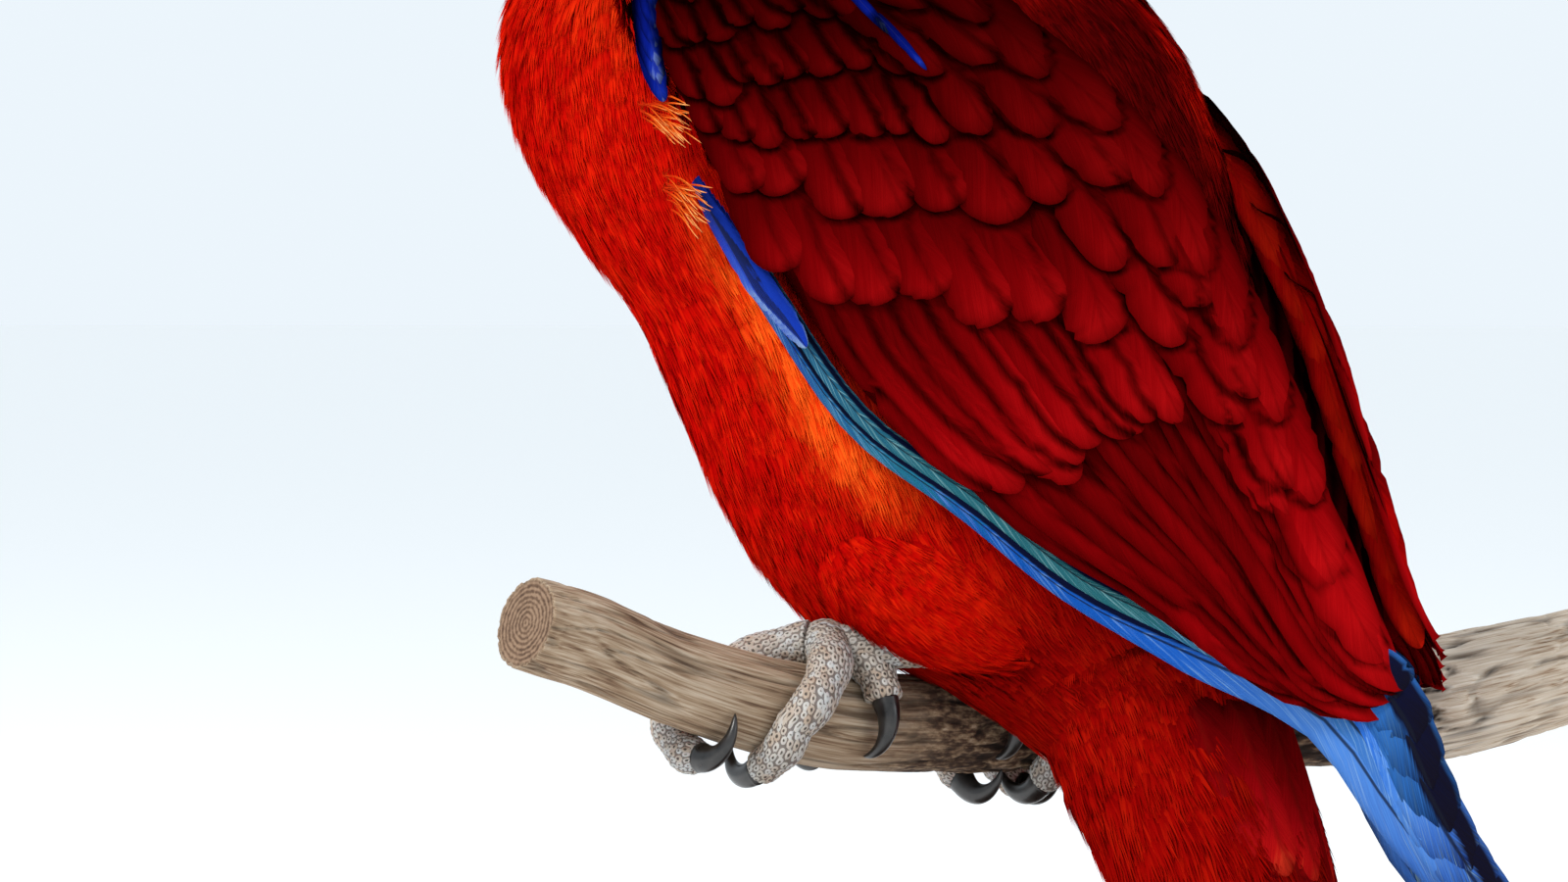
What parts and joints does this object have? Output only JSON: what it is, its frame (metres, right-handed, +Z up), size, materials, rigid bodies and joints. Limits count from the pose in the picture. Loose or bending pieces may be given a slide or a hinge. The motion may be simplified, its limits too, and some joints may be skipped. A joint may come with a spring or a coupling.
{
  "type": "eclectus parrot",
  "caption": "Life-size red female eclectus parrot with folded blue-edged wings, gripping a short cut branch on a round display stand.",
  "frame": {"origin": "centre of the underside of the round base", "axes": "+Z up from the base to the crown of the head; the bird faces -X, and its left side is -Y"},
  "size_m": [0.2111, 0.184, 0.3192],
  "materials": {
    "plumage_scarlet": "soft matt scarlet body plumage with orange tints on breast and flank",
    "plumage_crimson": "satin dark crimson wing and tail feathers",
    "plumage_blue": "satin deep blue flight feathers with darker tips",
    "bill_horn": "satin black horn",
    "eye_glass": "glossy, pale yellow iris round a black pupil",
    "foot_skin": "grey-buff granular scales with dark speckles",
    "claw_horn": "polished black horn",
    "bark": "dry grey-brown bark, sawn ends",
    "stand_metal": "satin steel",
    "stand_wood": "dark stained, low sheen"
  },
  "bodies": {
    "root": {"head": "plumage_scarlet", "neck": "plumage_scarlet", "torso": "plumage_scarlet", "thigh_left": "plumage_scarlet", "thigh_right": "plumage_scarlet", "wing_left": "plumage_crimson", "wing_right": "plumage_crimson", "tail": "plumage_crimson", "primaries_left": "plumage_blue", "primaries_right": "plumage_blue", "bill_upper": "bill_horn", "bill_lower": "bill_horn", "eye_left": "eye_glass", "eye_right": "eye_glass", "foot_left": "foot_skin", "foot_right": "foot_skin", "claw_left_1": "claw_horn", "claw_left_2": "claw_horn", "claw_left_3": "claw_horn", "claw_left_4": "claw_horn", "claw_right_1": "claw_horn", "claw_right_2": "claw_horn", "claw_right_3": "claw_horn", "claw_right_4": "claw_horn", "perch": "bark", "stand_post": "stand_metal", "stand_base": "stand_wood"}
  },
  "joints": []
}
